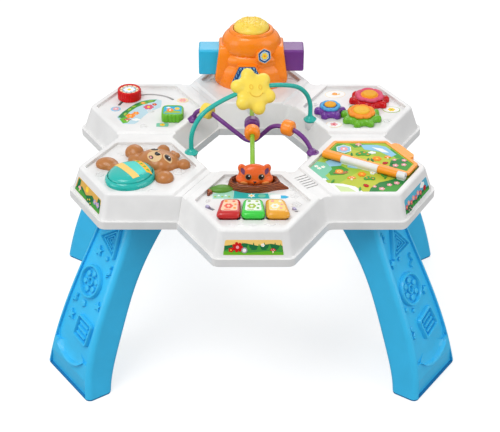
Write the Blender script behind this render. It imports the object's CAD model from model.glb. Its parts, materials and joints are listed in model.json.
import bmesh
import bpy
import json
from math import atan2, cos, degrees, hypot, pi, radians, sin, sqrt
from mathutils import Euler, Matrix, Quaternion, Vector
from mathutils.bvhtree import BVHTree


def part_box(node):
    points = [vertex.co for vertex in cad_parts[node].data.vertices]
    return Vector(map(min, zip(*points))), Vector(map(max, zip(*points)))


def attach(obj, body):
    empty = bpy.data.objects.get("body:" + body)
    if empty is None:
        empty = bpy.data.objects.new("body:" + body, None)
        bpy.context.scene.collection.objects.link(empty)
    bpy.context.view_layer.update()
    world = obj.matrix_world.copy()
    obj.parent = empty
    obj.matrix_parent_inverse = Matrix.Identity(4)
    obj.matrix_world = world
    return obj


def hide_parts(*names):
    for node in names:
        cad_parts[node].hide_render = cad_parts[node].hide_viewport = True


# Musical activity table: finish, prints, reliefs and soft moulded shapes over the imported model.
# Sizes are written in millimetres and turned into Blender's metres by the mesh helpers.

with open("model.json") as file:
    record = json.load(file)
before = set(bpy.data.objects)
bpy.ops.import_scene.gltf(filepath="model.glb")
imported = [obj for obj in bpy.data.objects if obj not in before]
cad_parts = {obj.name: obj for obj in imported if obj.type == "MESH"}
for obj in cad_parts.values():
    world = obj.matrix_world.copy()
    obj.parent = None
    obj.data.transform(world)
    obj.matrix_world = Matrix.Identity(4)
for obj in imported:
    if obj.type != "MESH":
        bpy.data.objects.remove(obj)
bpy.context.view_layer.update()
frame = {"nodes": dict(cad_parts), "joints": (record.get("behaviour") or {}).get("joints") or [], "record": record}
nodes = frame["nodes"]
joint = {j["name"]: j for j in frame["joints"]}
MM = 0.001


def polar(radius, angle):
    return radius * cos(radians(angle)), radius * sin(radians(angle))


def box_mm(name):
    low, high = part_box(name)
    return low / MM, high / MM


# ---------------------------------------------------------------- places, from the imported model
FRONT, RIGHT_FRONT, RIGHT_BACK, BACK, LEFT_BACK, LEFT_FRONT = 270, 330, 30, 90, 150, 210
page_pos = joint["page_turn"]["pos_m"]
PITCH = hypot(page_pos[0], page_pos[1]) / MM
SIDE = PITCH / sqrt(3)
RIM_Z = box_mm("deck_front")[0].z
TOP_Z = box_mm("deck_front")[1].z
PANEL_Z = box_mm("page_board")[0].z
LEDGE_Z = RIM_Z + 12
WALL_RUN, WALL_SETBACK = 11.3, 4  # how far a module's outer wall leans in, and where its foot stands
LEG_TILT, RELIEF_Z = radians(24), 150  # lean of the legs' outward faces, middle height of their reliefs
FOOT_REACH = 106  # from the table's middle to the feet of the bead wires
TRACK_RADIUS, DRUM_AT, BLOCK_AT = 50, 131, -37  # circle of the two sliders and where they stand at rest
PETAL, RED_AT, PURPLE_AT = 3.7, 73, 158  # gears: pitch radius per petal, directions from the green one


class Spot:
    """A flat place to draw on: origin, two directions in it and the direction away from it."""

    def __init__(self, origin, x, n):
        self.origin, self.x, self.n = Vector(origin), Vector(x).normalized(), Vector(n).normalized()
        self.y = self.n.cross(self.x)

    def at(self, u, v, w=0.0):
        return self.origin + self.x * u + self.y * v + self.n * w


def panel_spot(module, z, turn=0.0):
    """Level place over the middle of a module; x to the right, y to the back, turned by an angle."""
    x, y = polar(PITCH, module)
    return Spot((x, y, z), (*polar(1, turn), 0), (0, 0, 1))


def wall_spot(module, direction, up):
    """Place on a module's sloping outer wall, up its face from the ledge."""
    rise = TOP_Z - LEDGE_Z
    foot = SIDE * cos(radians(30)) - WALL_SETBACK
    x, y = polar(PITCH, module)
    ux, uy = polar(1, direction)
    slope = Vector((-ux * WALL_RUN, -uy * WALL_RUN, rise)).normalized()
    origin = Vector((x + ux * foot, y + uy * foot, LEDGE_Z)) + slope * up
    across = Vector((-uy, ux, 0))
    return Spot(origin, across, across.cross(slope))


# ---------------------------------------------------------------- outlines, in millimetres
def ring_points(x, y, rx, ry=None, count=28, turn=0.0):
    ry = rx if ry is None else ry
    c, s = cos(radians(turn)), sin(radians(turn))
    points = []
    for k in range(count):
        a, b = rx * cos(2 * pi * k / count), ry * sin(2 * pi * k / count)
        points.append((x + a * c - b * s, y + a * s + b * c))
    return points


def turned(points, angle, x=0.0, y=0.0, scale=1.0):
    c, s = cos(radians(angle)) * scale, sin(radians(angle)) * scale
    return [(x + a * c - b * s, y + a * s + b * c) for a, b in points]


def star_points(x, y, radius, tips=5, turn=90.0, waist=0.45):
    points = []
    for k in range(tips * 2):
        r = radius if k % 2 == 0 else radius * waist
        dx, dy = polar(r, turn + k * 180 / tips)
        points.append((x + dx, y + dy))
    return points


def rounded(points, radius, steps=5):
    """Outline with each corner rounded."""
    made = []
    for before, here, after in zip(points[-1:] + points[:-1], points, points[1:] + points[:1]):
        a = Vector((before[0] - here[0], before[1] - here[1]))
        b = Vector((after[0] - here[0], after[1] - here[1]))
        reach = min(radius, a.length * 0.45, b.length * 0.45)
        start, end = Vector(here) + a.normalized() * reach, Vector(here) + b.normalized() * reach
        for k in range(steps + 1):
            t = k / steps
            p = start * (1 - t) ** 2 + Vector(here) * 2 * t * (1 - t) + end * t**2
            made.append((p.x, p.y))
    return made


def box_points(x, y, width, height, radius=0.0, turn=0.0):
    w, h = width / 2, height / 2
    corners = [(-w, -h), (w, -h), (w, h), (-w, h)]
    if radius:
        corners = rounded(corners, radius)
    return turned(corners, turn, x, y)


def hexagon(radius, turn=0.0, x=0.0, y=0.0):
    return [(x + polar(radius, turn + 60 * k)[0], y + polar(radius, turn + 60 * k)[1]) for k in range(6)]


def petals(x, y, radius, count=5, depth=0.28, turn=0.0, steps=12):
    """Outline of round petals about a point."""
    points = []
    total = count * steps
    for k in range(total):
        phase = abs(cos(pi * count * k / total))
        r = radius * (1 - depth + depth * sqrt(phase))
        dx, dy = polar(r, turn + 360 * k / total)
        points.append((x + dx, y + dy))
    return points


def leaf_points(x, y, length, width, turn=0.0, steps=8):
    points = []
    for sign in (1, -1):
        for k in range(steps):
            t = k / steps if sign > 0 else 1 - k / steps
            points.append((length * (t - 0.5), sign * width / 2 * sin(pi * t)))
    return turned(points, turn, x, y)


# ---------------------------------------------------------------- materials
def shade_nodes(name):
    material = bpy.data.materials.new(name)
    material.use_nodes = True
    tree = material.node_tree
    tree.nodes.clear()
    out = tree.nodes.new("ShaderNodeOutputMaterial")
    shader = tree.nodes.new("ShaderNodeBsdfPrincipled")
    tree.links.new(shader.outputs[0], out.inputs[0])
    return material, tree, shader


def node(tree, kind, **inputs):
    """New shader node with the given constants on its own inputs."""
    made = tree.nodes.new("ShaderNode" + kind)
    for name, value in inputs.items():
        made.inputs[name.replace("_", " ")].default_value = value
    return made


def noise_at(tree, scale, detail=3.0):
    noise = node(tree, "TexNoise", Scale=scale, Detail=detail)
    tree.links.new(node(tree, "TexCoord").outputs["Object"], noise.inputs["Vector"])
    return noise.outputs["Fac"]


def ramp(tree, value, low, high, at=(0.35, 0.65)):
    made = node(tree, "ValToRGB")
    for element, colour, position in zip(made.color_ramp.elements, (low, high), at):
        element.position, element.color = position, (*colour, 1)
    tree.links.new(value, made.inputs[0])
    return made.outputs["Color"]


def scaled(colour, factor):
    return tuple(min(1.0, c * factor) for c in colour)


def bumped(tree, shader, height, strength, distance):
    bump = node(tree, "Bump", Strength=strength, Distance=distance)
    tree.links.new(height, bump.inputs["Height"])
    tree.links.new(bump.outputs["Normal"], shader.inputs["Normal"])


def finish_surface(tree, shader, roughness, grain, grain_scale):
    """Uneven gloss and a fine moulded grain."""
    spread = node(tree, "MapRange", To_Min=roughness * 0.85, To_Max=roughness * 1.2)
    tree.links.new(noise_at(tree, 60), spread.inputs["Value"])
    tree.links.new(spread.outputs["Result"], shader.inputs["Roughness"])
    bumped(tree, shader, noise_at(tree, grain_scale, 5), grain, 0.0004)


def plastic(name, colour, roughness=0.32, coat=0.0, grain=0.12, grain_scale=900, soft=0.0, shine=0.28):
    """Moulded plastic: slightly clouded colour, uneven gloss, fine grain."""
    material, tree, shader = shade_nodes(name)
    tint = ramp(tree, noise_at(tree, 22), scaled(colour, 0.96), scaled(colour, 1.03))
    tree.links.new(tint, shader.inputs["Base Color"])
    shader.inputs["Coat Weight"].default_value = coat
    shader.inputs["Coat Roughness"].default_value = 0.08
    shader.inputs["Specular IOR Level"].default_value = shine
    if soft:
        shader.inputs["Subsurface Weight"].default_value = soft
        shader.inputs["Subsurface Radius"].default_value = (0.004, 0.003, 0.002)
    finish_surface(tree, shader, roughness, grain, grain_scale)
    return material


def bark(name, dark, pale):
    """Moulded wood: rings and streaks in the colour and in the relief."""
    material, tree, shader = shade_nodes(name)
    wave = node(tree, "TexWave", Scale=130, Distortion=5, Detail=3)
    wave.wave_type = "BANDS"
    wave.bands_direction = "Z"
    tree.links.new(node(tree, "TexCoord").outputs["Object"], wave.inputs["Vector"])
    tree.links.new(ramp(tree, wave.outputs["Fac"], dark, pale, (0.2, 0.9)), shader.inputs["Base Color"])
    bumped(tree, shader, wave.outputs["Fac"], 0.5, 0.001)
    shader.inputs["Roughness"].default_value = 0.27
    shader.inputs["Specular IOR Level"].default_value = 0.3
    return material


def metal(name, colour, roughness):
    material, tree, shader = shade_nodes(name)
    shader.inputs["Metallic"].default_value = 1
    tint = ramp(tree, noise_at(tree, 400), scaled(colour, 0.85), scaled(colour, 1.05))
    tree.links.new(tint, shader.inputs["Base Color"])
    finish_surface(tree, shader, roughness, 0.1, 700)
    return material


COLOURS = {
    "white": (0.80, 0.80, 0.79),
    "paper": (0.93, 0.94, 0.92),
    "leg_blue": (0.042, 0.53, 0.90),
    "teal": (0.010, 0.44, 0.37),
    "wire_green": (0.24, 0.50, 0.03),
    "purple": (0.155, 0.028, 0.235),
    "orange": (0.96, 0.26, 0.010),
    "hive": (1.0, 0.255, 0.006),
    "yellow": (0.98, 0.66, 0.04),
    "cap": (0.93, 0.68, 0.09),
    "red": (0.62, 0.004, 0.006),
    "gear_red": (0.58, 0.004, 0.006),
    "pink": (0.70, 0.09, 0.17),
    "green": (0.13, 0.46, 0.02),
    "deep_green": (0.01, 0.16, 0.05),
    "grass": (0.06, 0.33, 0.045),
    "lime": (0.36, 0.54, 0.05),
    "mint": (0.20, 0.58, 0.40),
    "sky": (0.28, 0.58, 0.78),
    "navy": (0.01, 0.07, 0.25),
    "cyan": (0.02, 0.45, 0.72),
    "bear": (0.46, 0.175, 0.044),
    "cream": (0.90, 0.74, 0.50),
    "rose": (0.88, 0.36, 0.40),
    "sand": (0.93, 0.62, 0.18),
    "black": (0.01, 0.01, 0.012),
    "grey": (0.35, 0.36, 0.37),
    "lilac": (0.45, 0.36, 0.68),
    "teal_print": (0.03, 0.45, 0.42),
    "tan": (0.45, 0.20, 0.08),
    "plum": (0.16, 0.05, 0.12),
    "apricot": (0.95, 0.36, 0.10),
    "dusk": (0.10, 0.06, 0.05),
    "aqua": (0.10, 0.66, 0.58),
    "amber_print": (0.95, 0.50, 0.04),
    "orange_print": (0.95, 0.30, 0.03),
    "gear_sky": (0.10, 0.42, 0.78),
    "key_cream": (0.97, 0.62, 0.42),
    "key_rose": (0.85, 0.12, 0.08),
    "key_white": (0.86, 0.92, 0.84),
    "key_gold": (0.98, 0.72, 0.25),
    "lime_pale": (0.66, 0.80, 0.40),
    "star": (0.95, 0.72, 0.09),
    "tan_pale": (0.72, 0.50, 0.27),
    "straw": (0.72, 0.42, 0.09),
    "deep_sky": (0.09, 0.43, 0.60),
    "star_line": (0.90, 0.60, 0.07),
    "rim_orange": (0.90, 0.30, 0.03),
    "heart_yellow": (0.84, 0.48, 0.035),
    "heart_amber": (0.82, 0.38, 0.02),
    "page": (0.98, 0.33, 0.012),
    "haze": (0.62, 0.80, 0.74),
    "moss": (0.52, 0.58, 0.05),
    "pale_sky": (0.50, 0.70, 0.78),
    "mint_pale": (0.36, 0.68, 0.52),
    "deep_leaf": (0.02, 0.22, 0.05),
}
inks = {}


def ink(colour):
    """Printed colour: smooth card or film with a faint mottling."""
    if colour not in inks:
        inks[colour] = plastic("ink_" + colour, COLOURS[colour], 0.5, 0.0, 0.03, 500, 0.0, 0.2)
    return inks[colour]


# ---------------------------------------------------------------- mesh building
class Shape:
    """Gathers faces in millimetres, each with a material, and makes one object of them."""

    def __init__(self):
        self.points, self.faces, self.marks, self.materials = [], [], [], []

    def mark(self, material):
        if material not in self.materials:
            self.materials.append(material)
        return self.materials.index(material)

    def face(self, corners, material):
        start = len(self.points)
        self.points += [Vector(c) for c in corners]
        self.faces.append(list(range(start, start + len(corners))))
        self.marks.append(self.mark(material))

    def grid(self, rows, material, closed=False):
        """Quads between rows of points; closed joins each row's end to its start."""
        start, count = len(self.points), len(rows[0])
        for row in rows:
            self.points += [Vector(p) for p in row]
        mark = self.mark(material)
        for r in range(len(rows) - 1):
            for k in range(count if closed else count - 1):
                a, b = start + r * count + k, start + r * count + (k + 1) % count
                self.faces.append([a, b, b + count, a + count])
                self.marks.append(mark)

    def solid(self, rows, material):
        """Closed body: quads between closed rows of points, with both ends capped."""
        self.grid(rows, material, closed=True)
        self.face(rows[-1], material)
        self.face(list(reversed(rows[0])), material)

    def prism(self, outline, low, high, place, material):
        """Closed slab over an outline; place(u, v, w) gives the point at height w."""
        count = len(outline)
        start = len(self.points)
        self.points += [Vector(place(u, v, low)) for u, v in outline]
        self.points += [Vector(place(u, v, high)) for u, v in outline]
        mark = self.mark(material)
        self.faces.append([start + k for k in reversed(range(count))])
        self.faces.append([start + count + k for k in range(count)])
        for k in range(count):
            after = (k + 1) % count
            self.faces.append([start + k, start + after, start + count + after, start + count + k])
        self.marks += [mark] * (count + 2)

    def lathe(self, profile, place, material, count):
        """Closed body turned from (radius, height) points."""
        rows = [[place(u, v, h) for u, v in ring_points(0, 0, r, count=count)] for r, h in profile]
        self.grid(rows, material, closed=True)
        self.face(list(reversed(rows[0])), material)
        self.face(rows[-1], material)

    def make(self, name, body, smooth=True, angle=40.0):
        mesh = bpy.data.meshes.new(name)
        mesh.from_pydata([p * MM for p in self.points], [], self.faces)
        for material in self.materials:
            mesh.materials.append(material)
        for polygon, mark in zip(mesh.polygons, self.marks):
            polygon.material_index = mark
        work = bmesh.new()
        work.from_mesh(mesh)
        bmesh.ops.remove_doubles(work, verts=work.verts, dist=0.00001)
        bmesh.ops.recalc_face_normals(work, faces=work.faces)
        work.to_mesh(mesh)
        work.free()
        piece = bpy.data.objects.new(name, mesh)
        bpy.context.scene.collection.objects.link(piece)
        if smooth:
            for polygon in mesh.polygons:
                polygon.use_smooth = True
            mesh.set_sharp_from_angle(angle=radians(angle))
        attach(piece, body)
        return piece


class Print(Shape):
    """Flat artwork: each shape is a film a little thicker than the one before."""

    step = 0.03

    def __init__(self, spot, base=0.0):
        super().__init__()
        self.spot, self.base, self.count = spot, base, 0

    def show(self, name, body="table"):
        self.make(name, body, smooth=False)

    def put(self, outline, colour):
        self.count += 1
        self.prism(outline, self.base, self.base + 0.1 + self.count * self.step, self.spot.at, ink(colour))

    def disc(self, colour, *ring, **more):
        self.put(ring_points(*ring, **more), colour)

    def flower(self, x, y, radius, colour, middle="yellow", count=5, turn=0.0):
        self.put(petals(x, y, radius, count, 0.4, turn), colour)
        self.disc(middle, x, y, radius * 0.3, count=14)

    def cloud(self, x, y, size, colour="paper"):
        for dx, dy, r in ((-0.9, 0, 0.55), (0, 0.25, 0.8), (0.9, 0, 0.6), (0, -0.15, 0.7)):
            self.disc(colour, x + dx * size, y + dy * size, r * size, count=18)

    def sun(self, x, y, radius):
        self.put(star_points(x, y, radius * 1.6, 10, waist=0.7), "sand")
        self.disc("yellow", x, y, radius, count=20)

    def bush(self, x, y, size, colour="deep_green", bloom="rose"):
        for dx, dy, r in ((-0.8, 0, 0.6), (0, 0.3, 0.8), (0.8, 0, 0.65)):
            self.disc(colour, x + dx * size, y + dy * size, r * size, count=16)
        for dx, dy in ((-0.6, 0.2), (0.3, 0.6), (0.9, -0.1)):
            self.put(petals(x + dx * size, y + dy * size, size * 0.24, 5, 0.4), bloom)

    def mushroom(self, x, y, size, cap="red"):
        self.put(box_points(x, y + size * 0.35, size * 0.4, size * 0.8, size * 0.15), "cream")
        top = [(size * 0.8 * cos(radians(a)), size * 0.7 * sin(radians(a))) for a in range(0, 181, 12)]
        self.put([(x + a, y + size * 0.6 + b) for a, b in top], cap)
        for dx, dy in ((-0.35, 0.25), (0.1, 0.42), (0.4, 0.18)):
            self.disc("paper", x + dx * size, y + size * 0.6 + dy * size, size * 0.1, count=10)

    def snail(self, x, y, size, shell="orange", skin="lime"):
        self.put(leaf_points(x, y, size * 2.6, size * 0.7), skin)
        self.disc(skin, x + size * 1.15, y + size * 0.35, size * 0.35, count=14)
        self.disc(shell, x - size * 0.1, y + size * 0.55, size * 0.75, count=20)
        self.disc("sand", x - size * 0.1, y + size * 0.55, size * 0.45, count=16)
        self.disc(shell, x - size * 0.1, y + size * 0.55, size * 0.2, count=12)
        self.disc("black", x + size * 1.22, y + size * 0.45, size * 0.09, count=8)

    def ladybird(self, x, y, size, turn=0.0):
        self.disc("black", *turned([(size * 0.8, 0)], turn, x, y)[0], size * 0.45, count=14)
        self.disc("red", x, y, size, size * 0.8, 22, turn)
        for dx, dy in ((-0.4, 0.35), (0.2, 0.4), (-0.4, -0.35), (0.2, -0.4)):
            spot = turned([(dx * size, dy * size)], turn, x, y)[0]
            self.disc("black", *spot, size * 0.16, count=10)


# ---------------------------------------------------------------- camera, light and floor
def place_camera():
    """Camera of the photograph, found by fitting the ring's corners and the feet."""
    elevation, azimuth, roll, distance = radians(32.35), radians(-0.56), radians(0.34), 1994.8
    target = Vector((-3.81, -154.5, 273.4))
    back = Vector((sin(azimuth) * cos(elevation), -cos(azimuth) * cos(elevation), sin(elevation)))
    data = bpy.data.cameras.new("camera")
    data.sensor_width = 36
    data.lens = 36 * 1362.6 / 500
    data.clip_start, data.clip_end = 0.05, 50
    camera = bpy.data.objects.new("camera", data)
    bpy.context.scene.collection.objects.link(camera)
    camera.location = (target + back * distance) * MM
    camera.rotation_mode = "QUATERNION"
    camera.rotation_quaternion = (-back).to_track_quat("-Z", "Y") @ Quaternion((0, 0, 1), roll)
    bpy.context.scene.camera = camera


def area_light(name, place, target, size, power):
    data = bpy.data.lights.new(name, "AREA")
    data.energy, data.size = power, size
    light = bpy.data.objects.new(name, data)
    bpy.context.scene.collection.objects.link(light)
    light.location = place
    light.rotation_euler = (Vector(target) - Vector(place)).to_track_quat("-Z", "Y").to_euler()


def light_scene():
    scene = bpy.context.scene
    scene.view_settings.view_transform = "Standard"
    world = bpy.data.worlds.new("studio")
    scene.world = world
    world.use_nodes = True
    tree = world.node_tree
    tree.nodes.clear()
    out, mix = node(tree, "OutputWorld"), node(tree, "MixShader")
    soft = node(tree, "Background", Color=(0.985, 0.975, 1.0, 1), Strength=0.46)
    plain = node(tree, "Background", Color=(1, 1, 1, 1), Strength=1.0)
    rays = node(tree, "LightPath")
    seen = rays.outputs["Is Camera Ray"]
    for ray in ("Is Glossy Ray", "Is Transmission Ray"):
        either = node(tree, "Math")
        either.operation = "MAXIMUM"
        tree.links.new(seen, either.inputs[0])
        tree.links.new(rays.outputs[ray], either.inputs[1])
        seen = either.outputs[0]
    tree.links.new(seen, mix.inputs[0])
    tree.links.new(soft.outputs[0], mix.inputs[1])
    tree.links.new(plain.outputs[0], mix.inputs[2])
    tree.links.new(mix.outputs[0], out.inputs[0])
    area_light("key", (-0.75, -0.85, 2.35), (0, 0, 0.3), 1.3, 28)
    area_light("fill", (1.7, -1.0, 0.9), (0, 0, 0.25), 1.4, 11)
    area_light("left", (-1.9, -0.9, 0.7), (0, 0, 0.2), 1.2, 9)
    area_light("back", (0.3, 1.7, 1.7), (0, 0, 0.3), 1.2, 10)
    floor_mesh = bpy.data.meshes.new("floor")
    corners = [(x * 12.0, y * 12.0, 0) for x, y in ((-1, -1), (1, -1), (1, 1), (-1, 1))]
    floor_mesh.from_pydata(corners, [], [(0, 1, 2, 3)])
    floor = bpy.data.objects.new("floor", floor_mesh)
    scene.collection.objects.link(floor)
    material, tree, shader = shade_nodes("floor")
    shader.inputs["Base Color"].default_value = (0.42, 0.42, 0.415, 1)
    shader.inputs["Roughness"].default_value = 0.9
    shader.inputs["Specular IOR Level"].default_value = 0.1
    lift = node(tree, "Math")
    lift.operation = "MULTIPLY"
    lift.inputs[1].default_value = 0.72
    tree.links.new(node(tree, "LightPath").outputs["Is Camera Ray"], lift.inputs[0])
    shader.inputs["Emission Color"].default_value = (1, 1, 1, 1)
    tree.links.new(lift.outputs[0], shader.inputs["Emission Strength"])
    floor_mesh.materials.append(material)


place_camera()
light_scene()

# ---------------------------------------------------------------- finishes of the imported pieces
FINISH = {
    "screw_steel": metal("steel", (0.6, 0.6, 0.62), 0.35),
    "spring_steel": metal("spring_steel", (0.65, 0.65, 0.67), 0.25),
    "stump_brown": bark("stump_bark", (0.13, 0.022, 0.006), (0.35, 0.085, 0.018)),
    "slider_red": plastic("slider_red", COLOURS["red"], 0.3, 0.12, shine=0.16),
    "gear_red": plastic("gear_red", COLOURS["gear_red"], 0.26, 0.2, shine=0.16),
}
for slot, name, colour, *look in (
    ("white_shell", "white_plastic", "white", 0.36, 0.1, 0.10, 700),
    ("leg_blue", "blue_plastic", "leg_blue", 0.34, 0.1, 0.12, 700),
    ("pad_rubber", "pad_rubber", (0.01, 0.20, 0.45), 0.7, 0.0, 0.3, 500),
    ("cell", "cell_wrap", (0.03, 0.03, 0.035), 0.3, 0.3),
    ("speaker", "speaker_cone", (0.02, 0.02, 0.02), 0.6),
    ("board_green", "board_green", (0.01, 0.12, 0.04), 0.4, 0.2),
    ("mat_rubber", "mat_rubber", (0.6, 0.6, 0.6), 0.6, 0.0, 0.2, 400),
    ("switch_lilac", "switch_lilac", (0.42, 0.38, 0.58), 0.3, 0.2),
    ("key_red", "key_red", (0.54, 0.003, 0.004), 0.14, 0.5, 0.03, 300, 0.1),
    ("key_green", "key_green", (0.03, 0.60, 0.045), 0.14, 0.5, 0.03, 300, 0.25),
    ("key_amber", "key_amber", (0.78, 0.36, 0.012), 0.14, 0.5, 0.03, 300, 0.25),
    ("leaf_green", "leaf_green", (0.10, 0.27, 0.025), 0.33, 0.1),
    ("critter_orange", "critter_orange", (0.78, 0.115, 0.008), 0.27, 0.25),
    ("bear_brown", "bear_brown", "bear", 0.32, 0.25),
    ("tummy_teal", "tummy_teal", (0.004, 0.46, 0.40), 0.16, 0.5),
    ("slider_green", "slider_green", (0.13, 0.46, 0.02), 0.3, 0.2),
    ("gear_green", "gear_green", (0.14, 0.46, 0.015), 0.24, 0.3),
    ("gear_purple", "gear_purple", (0.16, 0.03, 0.33), 0.26, 0.4),
    ("disc_orange", "disc_orange_base", "rim_orange", 0.24, 0.4),
    ("disc_pink", "disc_pink", "pink", 0.24, 0.4),
    ("disc_blue", "disc_blue", "gear_sky", 0.24, 0.4),
    ("page_orange", "page_orange", "page", 0.3, 0.1),
    ("page_print", "page_paper", "lime", 0.4, 0.15),
    ("hive_amber", "hive_amber", "hive", 0.27, 0.3),
    ("cap_yellow", "cap_yellow", "cap", 0.26, 0.15, 0.05, 400, 0.25),
    ("bar_blue", "bar_cyan", "cyan", 0.3, 0.25),
    ("bar_purple", "bar_purple", "purple", 0.3, 0.25),
    ("wire_teal", "wire_teal", "teal", 0.28, 0.3),
    ("wire_green", "wire_green", "wire_green", 0.28, 0.3),
    ("wire_purple", "wire_purple", "purple", 0.28, 0.3),
    ("star_yellow", "star_yellow", "star", 0.33, 0.1),
    ("bead_orange", "bead_orange", "orange", 0.26, 0.3),
):
    colour = COLOURS[colour] if isinstance(colour, str) else colour
    FINISH[slot] = plastic(name, colour, *look)
BLACK = plastic("gloss_black", (0.010, 0.008, 0.008), 0.12, 0.15, 0.02, 300)
for part in frame["record"]["subparts"]:
    mesh = nodes[part["node"]].data
    mesh.materials.clear()
    mesh.materials.append(FINISH[part["material_slot"]])
    for polygon in mesh.polygons:
        polygon.use_smooth = True
    mesh.set_sharp_from_angle(angle=radians(32))

# ---------------------------------------------------------------- soft and draped shapes
class Drape:
    """Lays points on the surfaces under a flat place: u and v in the place, w out from the surface."""

    def __init__(self, spot, *sources):
        points, faces = [], []
        for source in sources:
            start = len(points)
            points += [v.co.copy() for v in source.data.vertices]
            faces += [[start + i for i in polygon.vertices] for polygon in source.data.polygons]
        self.tree, self.spot = BVHTree.FromPolygons(points, faces), spot

    def at(self, u, v, w=0.0):
        start = self.spot.at(u, v)
        hit = self.tree.ray_cast(start * MM, -self.spot.n)[0]
        base = start - self.spot.n * 30 if hit is None else hit / MM
        return base + self.spot.n * w


def pad(shape, outline, place, height, material, dome=True, sink=0.6):
    """Raised patch with a rounded edge, over an outline that its middle sees all of."""
    cx = sum(p[0] for p in outline) / len(outline)
    cy = sum(p[1] for p in outline) / len(outline)
    full = ((1, 0.55), (0.95, 0.8), (0.85, 0.92), (0.65, 0.98), (0.4, 1), (0.15, 1))
    flat = ((1, 0.75), (0.98, 0.95), (0.93, 1), (0.65, 1), (0.4, 1), (0.15, 1))
    profile = [(1, -sink)] + [(k, height * rise) for k, rise in (full if dome else flat)]
    rows = []
    for k, w in profile:
        rows.append([place(cx + (x - cx) * k, cy + (y - cy) * k, w) for x, y in outline])
    shape.solid(rows, material)


def patch(shape, outline, place, height, colour):
    """Printed patch that stands a little proud, with a flat top."""
    pad(shape, outline, place, height, ink(colour), dome=False)


def rib(shape, points, width, height, place, material, closed=False):
    """Raised line with a round back along a run of points."""
    count = len(points)
    rows = []
    for k, p in enumerate(points):
        a = points[(k - 1) % count if closed else max(k - 1, 0)]
        b = points[(k + 1) % count if closed else min(k + 1, count - 1)]
        dx, dy = b[0] - a[0], b[1] - a[1]
        length = hypot(dx, dy) or 1
        nx, ny = -dy / length, dx / length
        row = []
        for side, rise in ((-0.5, -0.4), (-0.42, 0.6), (-0.2, 1), (0.2, 1), (0.42, 0.6), (0.5, -0.4)):
            w = height * rise if rise > 0 else rise
            row.append(place(p[0] + nx * width * side, p[1] + ny * width * side, w))
        rows.append(row)
    if closed:
        rows.append(rows[0])
    shape.grid(rows, material, closed=True)
    if not closed:
        shape.face(rows[0], material)
        shape.face(list(reversed(rows[-1])), material)


def blob(name, lumps, spot, body, material, voxel=1.5, soften=6, floor_level=None):
    """Moulded form of ellipsoids melted together: (middle, radii, turns) in a place's directions."""
    work = bmesh.new()
    axes = Matrix((spot.x, spot.y, spot.n)).transposed().to_4x4()
    for middle, radii, turns in lumps:
        around = Euler([radians(t) for t in turns]).to_matrix().to_4x4()
        size = Matrix.Diagonal((*[r * MM for r in radii], 1))
        matrix = Matrix.Translation(spot.at(*middle) * MM) @ axes @ around @ size
        bmesh.ops.create_icosphere(work, subdivisions=4, radius=1, matrix=matrix)
    mesh = bpy.data.meshes.new(name)
    work.to_mesh(mesh)
    work.free()
    rough = bpy.data.objects.new(name, mesh)
    bpy.context.scene.collection.objects.link(rough)
    melt = rough.modifiers.new("melt", "REMESH")
    melt.mode = "VOXEL"
    melt.voxel_size = voxel * MM
    smooth = rough.modifiers.new("soften", "SMOOTH")
    smooth.iterations = soften
    smooth.factor = 0.6
    bpy.context.view_layer.update()
    melted = bpy.data.meshes.new_from_object(rough.evaluated_get(bpy.context.evaluated_depsgraph_get()))
    bpy.data.objects.remove(rough)
    if floor_level is not None:
        work = bmesh.new()
        work.from_mesh(melted)
        cut = bmesh.ops.bisect_plane(
            work,
            geom=work.verts[:] + work.edges[:] + work.faces[:],
            plane_co=spot.at(0, 0, floor_level) * MM,
            plane_no=-spot.n,
            clear_outer=True,
        )
        edges = [e for e in cut["geom_cut"] if isinstance(e, bmesh.types.BMEdge)]
        bmesh.ops.holes_fill(work, edges=edges)
        bmesh.ops.recalc_face_normals(work, faces=work.faces)
        work.to_mesh(melted)
        work.free()
    melted.materials.clear()
    melted.materials.append(material)
    for polygon in melted.polygons:
        polygon.use_smooth = True
    piece = bpy.data.objects.new(name, melted)
    bpy.context.scene.collection.objects.link(piece)
    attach(piece, body)
    return piece


def moved(spot, u, v, w=0.0, turn=0.0):
    """The same plane's place about another point in it, turned by an angle."""
    x = Quaternion(spot.n, radians(turn)) @ spot.x
    return Spot(spot.at(u, v, w), x, spot.n)


def wavy(x, y, length, swing, turn=90.0, waves=1.5, count=14):
    points = []
    for k in range(count + 1):
        t = k / count
        points.append((length * (t - 0.5), swing * sin(2 * pi * waves * t)))
    return turned(points, turn, x, y)


# ---------------------------------------------------------------- legs: moulded reliefs
def leg_drape(azimuth, leg):
    radius = 299.6
    x, y = polar(1, azimuth)
    out = Vector((x * cos(LEG_TILT), y * cos(LEG_TILT), sin(LEG_TILT)))
    across = (-y, x, 0)
    foot = Vector((*polar(radius, azimuth), RELIEF_Z))
    return Drape(Spot(foot + out * 30, across, out), nodes[leg])


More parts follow.
